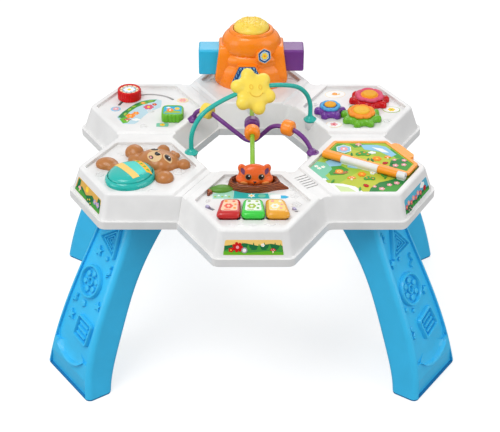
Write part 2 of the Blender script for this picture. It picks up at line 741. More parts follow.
def leg_reliefs(name, azimuth, leg, left, mirror):
    drape = leg_drape(azimuth, leg)
    flip = -1 if mirror else 1
    blue = FINISH["leg_blue"]
    shape = Shape()

    def spot_place(x, z):
        return lambda u, v, w: drape.at(flip * (x + u), (z - RELIEF_Z) / cos(LEG_TILT) + v, w)

    def triangle(x, z, turn):
        for size, width, rise in ((28, 5.4, 5.6), (18.5, 3.4, 4.4), (11.5, 2.8, 4), (5, 2.6, 3.6)):
            points = rounded([polar(size, turn + k * 120) for k in range(3)], 2.5, 3)
            rib(shape, points, width, rise, spot_place(x, z), blue, closed=True)

    def disc(x, z):
        place = spot_place(x, z)
        rib(shape, ring_points(0, 0, 23.5, count=44), 5.6, 6.4, place, blue, closed=True)
        rib(shape, ring_points(0, 0, 6.0, count=20), 3.0, 4.4, place, blue, closed=True)
        for k in range(6):
            px, py = polar(13.6, 20 + k * 60)
            pad(shape, ring_points(px, py, 4.6, count=16), place, 4.4, blue)

    def frame_square(x, z, turn):
        place = spot_place(x, z)
        rib(shape, box_points(0, 0, 36, 34, 4, turn), 5.4, 6.0, place, blue, closed=True)
        for k in range(3):
            bar = turned([(-12, -9 + k * 9), (0, -9 + k * 9), (12, -9 + k * 9)], turn)
            rib(shape, bar, 4.8, 4.8, place, blue)

    def star(x, z, size=7.5):
        pad(shape, star_points(0, 0, size * 1.15, 5, 100), spot_place(x, z), 4.4, blue)

    def dot(x, z, size=3.2):
        pad(shape, ring_points(0, 0, size * 1.1, count=14), spot_place(x, z), 4.0, blue)

    def squiggle(x, z, length=20, turn=80):
        rib(shape, wavy(0, 0, length, 3.0, turn), 4.4, 4.4, spot_place(x, z), blue)

    count, edge, rows = 41, [], []
    for step in range(count):
        a = radians(214 + 112 * step / (count - 1))
        edge.append((46 * cos(a), 35 * sin(a)))
    fan_z = 75
    fan = ((0.99, 4.3), (0.93, 3.3), (0.86, 2.3), (0.77, 1.3), (0.66, 0.6), (0.55, 0.2), (0.46, -0.3))
    for k, rise in fan:
        rows.append([spot_place(0, 0)(x * k, (fan_z + z * k) / cos(LEG_TILT), rise) for x, z in edge])
    shape.grid(rows, blue)
    shape.grid([[p - drape.spot.n * 3 for p in row] for row in rows], blue)
    last = len(rows) * count
    loop = list(range(count)) + [r * count + count - 1 for r in range(1, len(rows))]
    loop += [last - count + k for k in reversed(range(count - 1))]
    loop += [r * count for r in reversed(range(1, len(rows) - 1))]
    for a, b in zip(loop, loop[1:] + loop[:1]):
        shape.faces.append([a, b, last + b, last + a])
        shape.marks.append(0)

    if left:
        triangle(8, 232.5, 190)
        star(-11.8, 207.4)
        dot(10.9, 205.8)
        squiggle(28, 192.9, 18)
        disc(-4.4, 163.8)
        dot(-4.1, 130, 5)
        star(31, 141.4, 7)
        squiggle(-26, 128, 16, 60)
        star(-23.6, 104.1, 8)
        frame_square(15.7, 97.3, -4)
    else:
        squiggle(-27, 246, 18, 100)
        triangle(2.1, 224.2, 94)
        star(-26, 205, 7)
        dot(-6.5, 204)
        squiggle(19, 190.4, 20, 70)
        disc(-7.7, 158.1)
        star(24, 142, 7)
        dot(-33.4, 138.1)
        dot(-16.7, 129)
        frame_square(7, 99, 12)
        squiggle(-35, 103.3, 20, 95)
    shape.make(name, "table")


# ---------------------------------------------------------------- sheets of artwork on the decks
def deck_art():
    art = Print(wall_spot(FRONT, 270, 0))
    art.put(rounded([(-42, 4.5), (42, 4.5), (39, 26.5), (-39, 26.5)], 3), "sand")
    art.put([(-41.5, 5), (41.5, 5), (40, 18), (24, 21), (6, 18), (-12, 22), (-40, 18)], "deep_green")
    art.put([(-41.5, 5), (41.5, 5), (40.8, 12), (24, 15), (6, 12), (-12, 16), (-40.8, 12)], "grass")
    for k in range(9):
        x = -22 + 7.4 * k
        art.put([(x - 3.4, 12), (x + 3.4, 12), (x, 21 + 2 * (k % 2))], "deep_green" if k % 2 else "grass")
    art.put([(-41.7, 5), (41.7, 5), (41.5, 8.5), (20, 10.5), (-6, 8), (-41.3, 10)], "green")
    art.flower(-22, 16, 7.5, "red", "rose", 7)
    art.flower(-31, 12, 3.6, "red", "yellow")
    art.disc("grey", -12.5, 11.5, 4.2)
    art.disc("paper", -12.5, 11.5, 2.6)
    art.flower(13, 19, 2.6, "paper")
    art.mushroom(27, 8, 5)
    art.show("sticker_front")

    art = Print(wall_spot(LEFT_FRONT, 210, 0))
    art.put(rounded([(-42, 4.5), (42, 4.5), (39, 26.5), (-39, 26.5)], 3), "straw")
    for x in (-33, 34):
        art.put([(x - 6, 6), (x + 6, 6), (x + 4, 25), (x - 4, 25)], "deep_green")
    art.disc("yellow", -6, 21, 4.5)
    hills = [(-41.5, 5), (41.5, 5), (40, 19), (28, 14), (12, 20), (-6, 12), (-22, 18), (-40, 10)]
    art.put(hills, "deep_green")
    art.put([(-41.7, 5), (41.7, 5), (41, 10), (22, 13), (0, 9), (-22, 13), (-41, 9)], "grass")
    for x, size in ((22, 4), (29, 3), (33, 4.4)):
        art.flower(x, 15, size, "lilac", "yellow")
    art.mushroom(-28, 8, 6, "rose")
    art.bush(6, 8, 6, "deep_green", "yellow")
    art.show("sticker_left")

    art = Print(wall_spot(RIGHT_FRONT, 330, 0))
    art.put(rounded([(-42, 4.5), (42, 4.5), (39, 26.5), (-39, 26.5)], 3), "deep_sky")
    art.cloud(22, 21, 5)
    art.put([(-41.7, 5), (41.7, 5), (41.3, 11), (22, 14), (0, 11), (-22, 15), (-41, 13)], "deep_green")
    art.put([(-41.7, 5), (41.7, 5), (41.3, 8), (22, 10), (0, 8), (-22, 11), (-41.2, 9)], "grass")
    for k in range(7):
        x = -36 + k * 8
        art.put(box_points(x, 9, 1.2, 9), "deep_green")
        art.flower(x, 14 + 3 * (k % 2), 3.8, "rose" if k % 2 else "pink")
    art.ladybird(27, 14, 4, 30)
    art.bush(-30, 7, 5)
    art.show("sticker_right")

    art = Print(panel_spot(FRONT, PANEL_Z))
    strip = [
        (-58.5, 11.3), (40, 11.3), (40, 24), (22, 27.5), (2, 27), (-12, 30), (-27, 34.3), (-42, 31),
        (-58.5, 25),
    ]
    art.put(rounded(strip, 2), "haze")
    art.put([(-57, 12), (-28, 12), (-28, 33), (-42, 30), (-57, 24.5)], "mint_pale")
    art.put([(-28, 12), (24, 12), (22, 26), (2, 26), (-12, 29), (-27, 33)], "teal_print")
    art.put(star_points(-2, 20, 6, 6, 90, 0.55), "paper")
    art.disc("yellow", -2, 20, 2)
    art.put(box_points(33, 17.5, 16, 11, 3), "paper")
    art.put([(40, 12.5), (47, 12.5), (52, 16.5), (46, 20.5), (40, 20.5)], "cyan")
    for k, x in enumerate((-54, -49, -44, -39, -34)):
        art.put(petals(x, 17 + 3 * (k % 2), 1.8, 5, 0.4), "paper" if k % 2 else "lime")
    art.disc("mint", 13, 19, 5.5, 4.5)
    art.show("banner")

    art = Print(panel_spot(LEFT_BACK, PANEL_Z))
    art.step = 0.012
    crescent = [
        (-48.5, -28), (-40.3, -10), (-30.7, 5.5), (-22.6, 18), (-13, 27), (-2, 32), (10, 33.5), (20, 29),
        (20, 6), (11, -2), (0, -14), (-8, -29), (-14, -44), (-19, -50.5), (-37.3, -50.4),
    ]
    art.put(rounded(crescent, 2, 2), "pale_sky")
    meadow = [
        (-47, -29), (-40, -11), (-30, 5), (-22, 17), (-12, 26), (0, 31), (12, 32), (8, 24), (-6, 18),
        (-20, 4), (-30, -12), (-36, -34),
    ]
    art.put(meadow, "grass")
    vine = [
        (-46, -29), (-40, -12), (-31, 4), (-23, 15), (-14, 23), (-16, 14), (-26, 2), (-34, -14), (-39, -30),
    ]
    art.put(vine, "deep_leaf")
    for x, y, turn in ((-30, -2, 60), (-24, 8, 40), (-36, -18, 75), (-10, 22, 25), (2, 27, 10)):
        art.put(leaf_points(x, y, 11, 4.2, turn), "lime")
    art.put([(-44, -34), (-33, -28), (-26, -36), (-30, -46), (-37, -49)], "green")
    for x, y, size in ((-27, -24, 8), (-19, -15, 5.5)):
        art.flower(x, y, size, "orange", "sand", 6)
    art.flower(0, 6, 8.5, "pink", "yellow", 6)
    art.flower(9, 15, 4, "red", "yellow")
    art.mushroom(-31, -42, 7)
    art.cloud(-17, -37, 4.5)
    art.snail(-9, 17, 4.5)
    art.disc("sky", -52, -1, 8, 7.4)
    art.flower(-52, -1, 5.5, "rose", "paper", 6)
    art.put(rounded(box_points(25, -54, 19, 11), 2), "mint")
    art.flower(25, -54, 4.4, "yellow", "orange")
    art.disc("cream", 54, 29, 9.5, 8)
    art.flower(54, 29, 6, "rose", "sand", 6)
    art.show("prints_left_back")

    art = Print(panel_spot(RIGHT_BACK, PANEL_Z))
    art.disc("cream", -28, 51.5, 17, 12.5, 30, 12)
    art.disc("paper", -28, 51.5, 16, 11.5, 30, 12)
    art.snail(-28, 50, 5.5, "orange", "sand")
    art.disc("lime", 59, -2, 14, 10, 26)
    art.disc("paper", 59, -2, 13, 9, 26)
    art.flower(59, -2, 6, "yellow", "lime", 6)
    art.disc("cream", -36, -51.5, 12.5, 10, 26)
    art.disc("paper", -36, -51.5, 11.5, 9, 26)
    art.flower(-36, -51.5, 6, "rose", "red", 5)
    art.show("prints_right_back")


def deck_relief():
    """Fine raised line drawings moulded into the white panels."""
    white = FINISH["white_shell"]
    shape = Shape()

    def motif(module, x, y, size, kind, turn=0.0):
        place = panel_spot(module, PANEL_Z).at
        if kind == "flower":
            rib(shape, petals(x, y, size, 5, 0.35, turn, 8), 1.5, 0.8, place, white, closed=True)
            rib(shape, ring_points(x, y, size * 0.35, count=12), 1.5, 0.8, place, white, closed=True)
        elif kind == "leaf":
            rib(shape, leaf_points(x, y, size * 2, size, turn), 1.5, 0.8, place, white, closed=True)
            rib(shape, turned([(-size * 0.8, 0), (size * 0.8, 0)], turn, x, y), 1.3, 0.8, place, white)
        elif kind == "comb":
            for dx, dy in ((0, 0), (1.8, 0), (0.9, 1.56)):
                ring = hexagon(size, 30, x + dx * size, y + dy * size)
                rib(shape, ring, 1.5, 0.8, place, white, closed=True)
        else:
            rib(shape, wavy(x, y, size * 3, size * 0.4, turn), 1.6, 0.8, place, white)

    for place in (
        (LEFT_FRONT, 56, -8, 9, "flower"), (LEFT_FRONT, 46, -31, 6, "leaf", 30),
        (LEFT_FRONT, 4, 56, 7, "flower", 20), (LEFT_FRONT, -34, 44, 7, "leaf", -40),
        (LEFT_FRONT, -60, -16, 6, "flower"), (LEFT_FRONT, 12, -60, 8, "wave"), (FRONT, 60, 20, 6, "flower"),
        (FRONT, -64, 6, 5, "leaf", 60), (FRONT, 28, 64, 6, "wave", 10), (FRONT, 62, -4, 7, "flower", 12),
        (FRONT, 60, -18, 7, "wave", -55), (FRONT, 56, 36, 6, "wave", 20), (FRONT, 0, -58, 6, "leaf", 5),
        (FRONT, -24, -57, 7, "wave"), (FRONT, 26, -57, 7, "wave", 3), (FRONT, -34, 60, 6, "leaf", 20),
        (LEFT_BACK, -18, 60, 6, "leaf", 10), (LEFT_BACK, -4, -58, 6, "flower"),
        (LEFT_BACK, 4, -8, 5, "flower", 15), (RIGHT_BACK, 10, 63, 6, "leaf", 0),
        (RIGHT_BACK, 50, -40, 7, "flower"), (RIGHT_BACK, -62, 16, 6, "leaf", 70), (BACK, -62, 6, 7, "comb"),
        (BACK, 56, 18, 7, "comb"), (BACK, -36, -52, 6, "comb"), (BACK, 24, -56, 6, "comb"),
    ):
        motif(*place)
    shape.make("panel_relief", "table")


# ---------------------------------------------------------------- keys, stump and critter
def keys():
    spot = panel_spot(FRONT, PANEL_Z)
    for index, colour in ((-1, "red"), (0, "green"), (1, "amber")):
        shade = "key_" + colour
        outline = rounded(
            [(35.3 * index - 17.5, -46), (35.3 * index + 17.5, -46),
             (31 * index + 14, -2.4), (31 * index - 14, -2.4)], 9, 7,
        )
        cx, cy = 33 * index, -25
        shape = Shape()
        rows = []
        for k, w in ((0.8, -4), (0.8, 2.6), (0.97, 2.7), (1, 3.6), (1, 5.4), (0.985, 7.0), (0.95, 8.5),
                     (0.89, 9.7), (0.79, 10.6), (0.64, 11.1), (0.4, 11.3), (0.15, 11.4)):
            rows.append([spot.at(cx + (x - cx) * k, cy + (y - cy) * k, w) for x, y in outline])
        shape.solid(rows, FINISH[shade])
        body = colour + "_key"
        cap = shape.make("cap_" + body, body, angle=60)
        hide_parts("key_" + colour)
        drape = Drape(moved(spot, 0, 0, 30), cap)
        art = Print(drape, 0.02)
        paper, mark, dots = {
            "red": ("key_cream", "key_rose", "orange"),
            "green": ("key_white", "lime", "green"),
            "amber": ("key_gold", "key_white", "rose"),
        }[colour]
        x = 32.6 * index
        window = rounded([(x + 1.6 * index - 12, -37), (x + 1.6 * index + 12, -37),
                          (x - 1.4 * index + 9.4, -8.5), (x - 1.4 * index - 9.4, -8.5)], 4, 4)
        pad(art, window, drape.at, 0.25, ink(paper), dome=False, sink=0.3)
        art.base = 0.2
        art.put(petals(x - 2, -26, 6.4, 6, 0.3), mark)
        art.disc(paper, x - 2, -26, 2.4, count=14)
        art.put(petals(x - 5.4, -13, 2.6, 5, 0.4), dots)
        art.disc(mark, x + 5.4, -13.5, 2.2, count=12)
        art.put(star_points(x + 7.6, -22, 2.6), dots)
        art.disc(dots, x + 6.6, -31.5, 2.0, count=12)
        art.put(box_points(x - 4, -35, 9, 1.2), mark)
        art.show("print_" + body, body)


def stump():
    spot = moved(panel_spot(FRONT, PANEL_Z), 2, 47.5)
    shape = Shape()
    count = 120
    root = atan2(-8.5 / 20.5, 43 / 37)
    rings = (
        (1.035, 0.0, -0.3, 1.0), (1.03, 0.0, 2.5, 1.0), (1.0, 0.0, 5.5, 0.75), (0.985, 0.0, 8.5, 0.45),
        (0.955, 0.0, 10.6, 0.2), (0.9, 0.0, 11.6, 0), (0.0, 0.85, 11.4, 0), (0.0, 0.99, 10, 0),
        (0.0, 1.0, 7, 0), (0.0, 1.0, -0.3, 0),
    )
    rows = []
    for outer, inner, w, reach in rings:
        row = []
        for k in range(count):
            a = 2 * pi * k / count
            ripple = 1 + 0.012 * sin(9 * a + w) + 0.008 * sin(17 * a - w * 0.7)
            if outer:
                rx, ry = 37 * outer * ripple, 20.5 * outer * ripple
                gap = (a - root + pi) % (2 * pi) - pi
                grow = 14 * reach * sin(min(1, 1.4 - reach * 0.4) * pi / 2) * 2.718 ** (-((gap / 0.2) ** 2))
                x, y = rx * cos(a) + grow * cos(-0.12), ry * sin(a) + grow * sin(-0.12)
            else:
                widen = 1 + (1 - inner) * 0.75
                x, y = 30.8 * widen * cos(a) * (2 - ripple), 15.2 * widen * sin(a) * (2 - ripple)
            row.append(spot.at(x, y, w + (0.5 * sin(5 * a) if 5 < w else 0)))
        rows.append(row)
    shape.grid(rows, FINISH["stump_brown"], closed=True)
    shape.grid([rows[-1], rows[0]], FINISH["stump_brown"], closed=True)
    ring = shape.make("bark_ring", "table", angle=80)
    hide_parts("stump")

    drape = panel_spot(FRONT, PANEL_Z)
    blade = Shape()
    turn, cx, cy, length, width = 8, -45, 36.5, 38, 19
    rows = []
    for k in range(13):
        t = k / 12
        half = width / 2 * sin(pi * min(0.98, 0.03 + t * 0.95)) ** 0.75
        row = []
        for j in range(9):
            side = -1 + j / 4
            x, y = turned([(length * (t - 0.5), half * side)], turn, cx, cy)[0]
            lift = 7.2 * sin(pi * (0.12 + 0.76 * t)) * (1 - 0.55 * side * side)
            veins = 0.8 * abs(sin(9 * pi * (t - 0.1 * abs(side)))) * (1 - abs(side))
            groove = veins + 0.9 * 2.718 ** (-((side / 0.12) ** 2))
            row.append(drape.at(x, y, max(0.4, lift - groove)))
        rows.append(row)
    blade.grid(rows, FINISH["leaf_green"])
    rows = [[Vector((p.x, p.y, PANEL_Z + 0.05)) for p in row] for row in rows]
    blade.grid(rows, FINISH["leaf_green"])
    base = 13 * 9
    loop = list(range(9)) + [9 * k + 8 for k in range(1, 13)]
    loop += [12 * 9 + k for k in reversed(range(8))] + [9 * k for k in reversed(range(1, 12))]
    for a, b in zip(loop, loop[1:] + loop[:1]):
        blade.faces.append([a, b, base + b, base + a])
        blade.marks.append(0)
    piece = blade.make("leaf_blade", "table", angle=70)
    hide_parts("leaf")
    lumps = [((-62, 28, 2), (3.4, 6, 3.2), (0, 0, 30)), ((-63.5, 22.5, 1.5), (2.8, 4.4, 2.6), (0, 0, -10))]
    twig = blob("twig", lumps, drape, "table", FINISH["stump_brown"], 0.8, 3, 0)


def critter():
    base = moved(panel_spot(FRONT, PANEL_Z), 2.4, 47.5)
    lumps = [
        ((0, 0, 17), (24, 12.2, 19), (0, 0, 0)),
        ((-15, -0.5, 12.6), (12.2, 11.2, 8.8), (0, 0, 0)),
        ((15, -0.5, 12.6), (12.2, 11.2, 8.8), (0, 0, 0)),
        ((0.5, -9, 12.5), (8, 5, 5.5), (0, 0, 0)),
        ((-17.5, 0, 28.3), (6.3, 3.8, 8.8), (0, -20, 0)),
        ((17.5, 0, 28.3), (6.3, 3.8, 8.8), (0, 20, 0)),
    ]
    orange = FINISH["critter_orange"]
    head = blob("critter_shape", lumps, base, "critter", orange, 0.9, 5, 4.4)
    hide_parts("critter_head")
    face = Spot(base.at(0.4, -28, 27.2), (1, 0, 0), (0, -0.94, 0.34))
    drape = Drape(face, head)
    shape = Shape()
    for side in (-1, 1):
        patch(shape, ring_points(side * 9.4, 0.3, 4.9, 4.9), drape.at, 0.35, "tan")
        pad(shape, ring_points(side * 9.4, 0.3, 3.9, 4.0), drape.at, 1.1, BLACK)
        pad(shape, ring_points(side * 9.4 + 1.3, 1.9, 0.95, count=10), drape.at, 1.5, ink("paper"))
        ear = leaf_points(side * 17.3, 8.4, 11, 6.2, 90 - side * 18)
        patch(shape, ear, drape.at, 0.5, "plum")
        cheek = ring_points(side * 15.5, -9.6, 5.6, 3.0, 20, side * 12)
        patch(shape, cheek, drape.at, 0.3, "apricot")
    pad(shape, rounded([(-3, -6.2), (3, -6.2), (0.3, -9.4)], 1.4), drape.at, 1.2, BLACK)
    mouth = [(-3.4, -11.2), (-1.8, -12.6), (0, -11.4), (1.8, -12.6), (3.4, -11.2)]
    rib(shape, mouth, 0.9, 0.3, drape.at, BLACK)
    rib(shape, [(0, -9), (0, -11.4)], 0.8, 0.3, drape.at, BLACK)
    shape.make("critter_face", "critter")


# ---------------------------------------------------------------- bear
def bear():
    spot = panel_spot(LEFT_FRONT, PANEL_Z)
    up, right = polar(1, 44), polar(1, -46)

    def on_face(u, v):
        return 28.5 + right[0] * u + up[0] * v, 18.7 + right[1] * u + up[1] * v

    lumps = [
        ((25, 18.5, 1.5), (33, 25.5, 17.2), (0, 0, -22)),
        ((*on_face(-16, -5), 2), (15.5, 14, 14.6), (0, 0, 0)),
        ((*on_face(14, -8), 2), (15, 13, 13.2), (0, 0, 0)),
        ((*on_face(0, -11), 8.5), (12.5, 10, 9.6), (0, 0, -46)),
        ((30.5, 50.5, 3), (10.2, 9.6, 8.5), (0, 0, 0)),
        ((63, 7.5, 3), (10, 9.6, 8.5), (0, 0, 0)),
        ((46, 36, 6), (6, 5, 5), (0, 0, -46)),
        ((52, 30, 6), (5.5, 5, 5), (0, 0, -46)),
        ((-12.5, 44, 3), (14.5, 14, 12.5), (0, 0, 0)),
        ((-10.5, 26, 1), (11, 13, 8.5), (0, 0, 0)),
        ((36, -29.5, 2), (14, 13.4, 10.5), (0, 0, 0)),
        ((27, -20, 1), (11, 9, 8), (0, 0, -45)),
        ((-51, 10, 2), (17.5, 13.6, 10.5), (0, 0, -10)),
        ((-39, 1, 1), (12, 11, 8), (0, 0, -40)),
        ((0, 4, 0), (14, 16, 8), (0, 0, 42)),
    ]
    body = blob("bear_shape", lumps, spot, "table", FINISH["bear_brown"], 1.5, 5, 0)
    oval = Spot(spot.at(-14, -27), (*polar(1, 42), 0), (0, 0, 1))
    for vertex in body.data.vertices:
        off = vertex.co / MM - oval.origin
        if hypot(off.dot(oval.x) / 36.5, off.dot(oval.y) / 31.5) < 1:
            vertex.co.z = min(vertex.co.z, (PANEL_Z - 0.6) * MM)
    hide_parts("bear")
    above = Spot(spot.at(28.5, 18.7, 40), (*right, 0), (0, 0, 1))
    drape = Drape(above, body)
    shape = Shape()

    def on_head(x, y):
        x, y = x - 28.5, y - 18.7
        return x * right[0] + y * right[1], x * up[0] + y * up[1]

    for side in (-1, 1):
        x = 14.8 * side + 1.4
        patch(shape, ring_points(x, -0.6, 8.6, 5.8, 26, side * -12), drape.at, 0.5, "tan_pale")
        patch(shape, ring_points(x, -0.2, 6.6, 4.4, 24, side * -12), drape.at, 0.8, "dusk")
        pad(shape, ring_points(x, -0.1, 5.0, 3.3, 20, side * -12), drape.at, 1.3, BLACK)
        pad(shape, ring_points(x + 1.6, 1.1, 1.1, 0.9, 10), drape.at, 1.8, ink("paper"))
    for x, y in (on_head(30.5, 50.5), on_head(63, 7.5)):
        patch(shape, ring_points(x, y, 5.4, 4.6, 18, 20), drape.at, 0.4, "tan")
    patch(shape, ring_points(0, -12, 12.4, 9.6, 34), drape.at, 0.5, "tan_pale")
    nose = rounded([(-4.6, -4.6), (6.6, -4.6), (4.6, -10), (1, -11.4), (-2.6, -10)], 2.8)
    pad(shape, nose, drape.at, 1.8, BLACK)
    patch(shape, ring_points(-1.4, -17.6, 4.4, 2.3, 18), drape.at, 0.9, "dusk")
    patch(shape, ring_points(-1.4, -18.2, 2.4, 1.1, 14), drape.at, 1.1, "rose")
    shape.make("bear_face", "table")

    ring = Shape()
    rows = []
    profile = (
        (38.6, -0.2), (39.2, 2.5), (38.6, 5), (37.4, 7.1), (35.9, 8.7), (35.3, 9.2), (35, 8.6), (35, -0.2),
    )
    for rx, w in profile:
        rows.append([oval.at(u, v, w) for u, v in ring_points(0, 0, rx, rx - 5, 64)])
    rows.append(rows[0])
    ring.grid(rows, FINISH["tummy_teal"], closed=True)
    welt = ring.make("torso_welt", "table", angle=70)

    dome = Shape()
    rows = []
    profile = (
        (0.99, 4.7), (1.0, 5.4), (1.0, 9.4), (0.985, 10.8), (0.95, 12.4), (0.88, 14), (0.77, 15.4),
        (0.62, 16.4), (0.42, 17), (0.2, 17.2), (0.05, 17.2),
    )
    for k, w in profile:
        rows.append([oval.at(u * k, v * k, w) for u, v in ring_points(0, 0, 34.3, 29.3, 64)])
    dome.solid(rows, FINISH["tummy_teal"])
    tummy = dome.make("tummy_dome", "tummy_button", angle=70)
    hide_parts("tummy")
    lay = Drape(moved(spot, 0, 0, 40), tummy)
    trims = Shape()

    def quad(corners, colour, height, steps=8):
        a, b, c, d = corners
        rows = []
        for k in range(steps + 1):
            t = k / steps
            p = (a[0] + (d[0] - a[0]) * t, a[1] + (d[1] - a[1]) * t)
            q = (b[0] + (c[0] - b[0]) * t, b[1] + (c[1] - b[1]) * t)
            line = [(p[0] + (q[0] - p[0]) * j / 6, p[1] + (q[1] - p[1]) * j / 6) for j in range(7)]
            over = [lay.at(*e, height) for e in line]
            rows.append([lay.at(*line[0], -0.5), *over, lay.at(*line[-1], -0.5)])
        trims.grid(rows, ink(colour), closed=True)
        trims.face(rows[0], ink(colour))
        trims.face(list(reversed(rows[-1])), ink(colour))

    quad([(-26, -9), (-8, -4), (14, -28), (0, -44)], "aqua", 0.25)
    quad([(-38, -13), (-28, -7), (1, -46), (-8, -52)], "sand", 0.5)
    quad([(-10, 0.5), (-2, 2), (18.5, -31), (10.5, -34)], "amber_print", 0.55, 10)
    for k in range(4):
        x, y = -4 + 5.2 * k, -6 - 7.4 * k
        tooth = turned([(-2.6, -2.2), (2.6, -2.2), (0, 2.6)], 120, x, y)
        patch(trims, tooth, lay.at, 0.9, "green")
    trims.make("tummy_trims", "tummy_button")


# ---------------------------------------------------------------- flared feet of the bead wires
def wire_feet():
    """Flared foot of each wire's end over a boss of the deck; start and radius: the wire's bend."""
    boss = (
        (0.5, -18.6), (5.6, -18.3), (7.0, -16.6), (8.0, -13), (8.6, -9), (8.9, -5), (9, -1.6), (8.4, -0.6),
    )
    bosses = Shape()
    for name, direction, start, radius in (
        ("foot_teal_left", LEFT_FRONT, 17.8, 52),
        ("foot_teal_right", RIGHT_BACK, 17.8, 52),
        ("foot_green_front", FRONT, -7.4, 20),
        ("foot_green_back", BACK, -7.4, 20),
        ("foot_purple_left", LEFT_BACK, -3.2, 24),
        ("foot_purple_right", RIGHT_FRONT, -15.1, 45),
    ):
        base = Spot((*polar(FOOT_REACH, direction), TOP_Z), (*polar(-1, direction), 0), (0, 0, 1))
        rows = [[base.at(u, v, w) for u, v in ring_points(0, 0, r, count=40)] for r, w in boss]
        bosses.solid(rows, FINISH["white_shell"])
        beaded = "purple" in name
        lumps = [
            ((0, 0, -0.8 if beaded else -0.4), (10.6, 10.6, 1.7 if beaded else 2.3), (0, 0, 0)),
            ((0, 0, -2.9 if beaded else -2.5), (9.2, 9.2, 4.3), (0, 0, 0)),
            ((0, 0, 2.0), (5.2, 5.2, 3.4 if beaded else 4.2), (0, 0, 0)),
        ]
        for k in range(6 if beaded else 10):
            bend = max(k - start, 0) / radius
            r = 3.7 + (3.6 * 0.48**k if beaded else 4.2 * 0.6**k)
            height = min(k, start) + radius * sin(bend)
            lumps.append(((radius * (1 - cos(bend)), 0, height), (r, r, r * 0.8), (0, degrees(bend), 0)))
        colour = name.split("_")[1]
        foot = blob(name, lumps, base, "table", FINISH["wire_" + colour], 0.8, 3)
    plinths = bosses.make("foot_bosses", "table", angle=50)


# ---------------------------------------------------------------- track sliders
def sliders():
    spot = panel_spot(LEFT_BACK, PANEL_Z)
    middle = joint["block_track"]["pos_m"][0] / MM - polar(PITCH, LEFT_BACK)[0]
    x, y = polar(TRACK_RADIUS, DRUM_AT)
    drum_spot = moved(spot, middle + x, y)
    red = FINISH["slider_red"]
    shape = Shape()
    rows = []
    profile = (
        (18.2, 0.8), (19, 1.5), (19, 3), (19, 8), (19, 13.4), (18.8, 15.2), (18.2, 16.4), (17.2, 17),
        (16.2, 17), (15.5, 16.5), (15.3, 15.2), (10, 15.2), (3, 15.2),
    )
    for r, w in profile:
        depth = 0.6 if 2 < w < 15 and r > 18.5 else 0.0
        row = []
        for k in range(180):
            a = 2 * pi * k / 180
            bite = depth * (0.5 + 0.5 * cos(30 * a))
            row.append(drum_spot.at((r - bite) * cos(a), (r - bite) * sin(a), w))
        rows.append(row)
    shape.solid(rows, red)
    drum = shape.make("drum_shell", "drum", angle=50)
    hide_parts("red_slider")
    art = Print(moved(drum_spot, 0, 0, 15.2))
    art.disc("cream", 0, 0, 15.2, count=36)
    art.disc("grey", 0, 0, 11.6, count=32)
    art.disc("sky", 0, 0, 10.2, count=32)
    art.put(petals(0, 0, 9.6, 8, 0.4), "paper")
    art.disc("yellow", 0, 0, 3, count=18)
    for k in range(10):
        px, py = polar(13.4, k * 36)
        art.disc("tan", px, py, 1.2, count=8)
    art.show("drum_print", "drum")

    x, y = polar(TRACK_RADIUS, BLOCK_AT)
    block_spot = moved(spot, middle + x, y)
    green = FINISH["slider_green"]
    shape = Shape()
    outline = []
    steps = 48
    for k in range(steps + 1):
        px = -12.4 + 24.8 * k / steps
        outline.append((px, -16.3 - 1.2 * abs(sin(4 * pi * k / steps)) ** 0.6))
    for cx, cy, start in ((9, -9, -70), (9, 9, 0), (-9, 9, 90), (-9, -9, 180)):
        span = 70 if start == -70 or start == 180 else 90
        for k in range(9):
            px, py = polar(8.5, start + span * k / 8)
            outline.append((cx + px, cy + py))
    rows = []
    profile = (
        (0.99, 0.8), (1, 1.4), (1, 9.5), (0.99, 11.4), (0.965, 13), (0.93, 13.9), (0.88, 14.1),
        (0.85, 13.8), (0.84, 13.2), (0.4, 13.2),
    )
    for k, w in profile:
        rows.append([block_spot.at(px * k, py * k, w) for px, py in outline])
    shape.solid(rows, green)
    block = shape.make("block_shell", "block", angle=50)
    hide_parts("green_slider")
    art = Print(moved(block_spot, 0, 0, 13.15))
    art.put(box_points(0, 1.5, 28, 24, 3), "cyan")
    art.put(rounded([(-12.8, -9), (12.8, -9), (12.8, -3), (0, 0), (-12.8, -4)], 2), "lime")
    art.sun(7, 6, 3.2)
    art.flower(-4, 1, 6, "orange", "paper", 6)
    art.cloud(-7, 9, 2.4)
    art.show("block_print", "block")


# ---------------------------------------------------------------- flower gears
def gear_outline(petal_count, first_petal, clearance=0.35):
    """Round petals and round valleys rolled by one circle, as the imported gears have."""
    radius, roller = petal_count * PETAL, PETAL / 2
    points = []
    for step in range(petal_count * 2):
        sign = 1 if step % 2 == 0 else -1
        for part in range(8):
            roll = 2 * pi * part / 8
            turn = roll * roller / radius
            orbit = radius + sign * roller
            spin = turn + sign * roll if sign > 0 else turn - roll
            px = orbit * cos(turn) - sign * roller * cos(spin)
            py = orbit * sin(turn) - sign * roller * sin(spin)
            nx, ny = px - radius * cos(turn), py - radius * sin(turn)
            reach = hypot(nx, ny)
            if reach > 1e-6:
                px, py = px - sign * clearance * nx / reach, py - sign * clearance * ny / reach
            else:
                py += sign * clearance
            start = radians(first_petal - 90 / petal_count + step * 180 / petal_count)
            points.append((px * cos(start) - py * sin(start), px * sin(start) + py * cos(start)))
    return points


def inset(points, depth):
    """Outline moved inwards along its own normals."""
    made = []
    count = len(points)
    for k, p in enumerate(points):
        a, b = points[k - 1], points[(k + 1) % count]
        dx, dy = b[0] - a[0], b[1] - a[1]
        length = hypot(dx, dy) or 1
        made.append((p[0] - dy / length * depth, p[1] + dx / length * depth))
    return made


